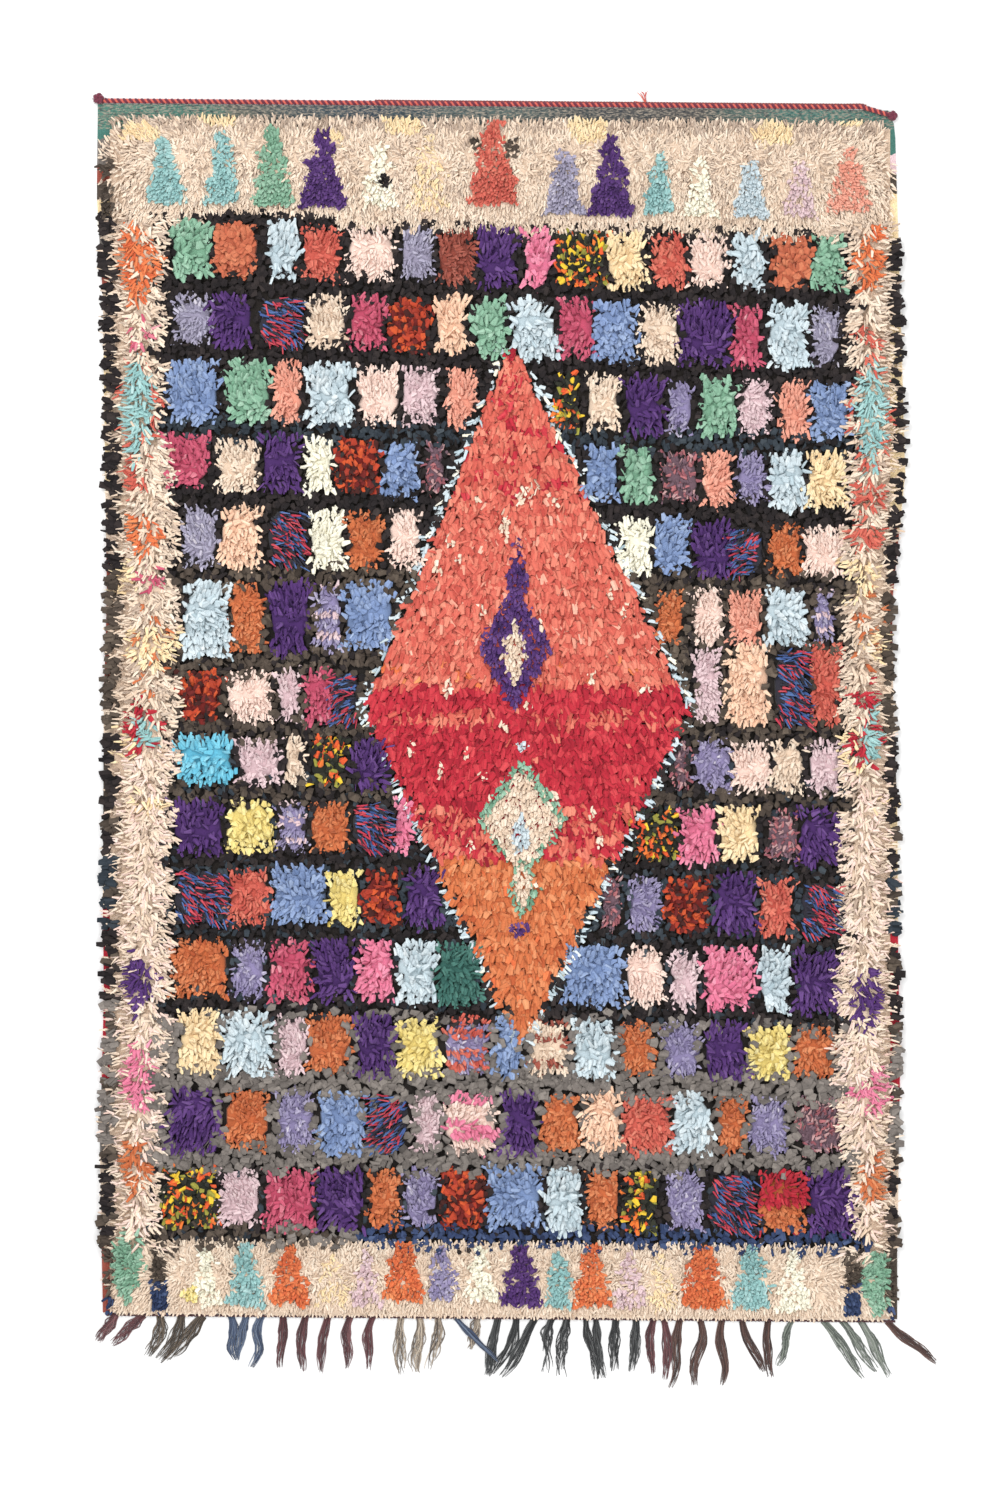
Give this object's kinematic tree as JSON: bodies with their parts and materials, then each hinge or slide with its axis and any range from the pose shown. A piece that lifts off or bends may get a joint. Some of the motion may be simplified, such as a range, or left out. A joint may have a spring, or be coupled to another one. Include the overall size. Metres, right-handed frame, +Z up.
{
  "type": "boucherouite rug",
  "caption": "Shaggy rag rug lying flat, with a lozenge on a field of coloured blocks, a corded top end and a fringed bottom end.",
  "frame": {"origin": "middle of the ground cloth's underside, on the floor", "axes": "+X across the rug, +Y along it towards the corded end, +Z up out of the pile"},
  "size_m": [1.6927, 2.5893, 0.0264],
  "materials": {
    "pile": "soft cotton and wool rag pile in many dyes on a dark ground",
    "cord": "twined wool, maroon and coral",
    "fringe": "loose wool warp, dark brown to maroon, slate and grey"
  },
  "bodies": {
    "root": {"rug": "pile", "edge_cord": "cord", "fringe": "fringe"}
  },
  "joints": []
}
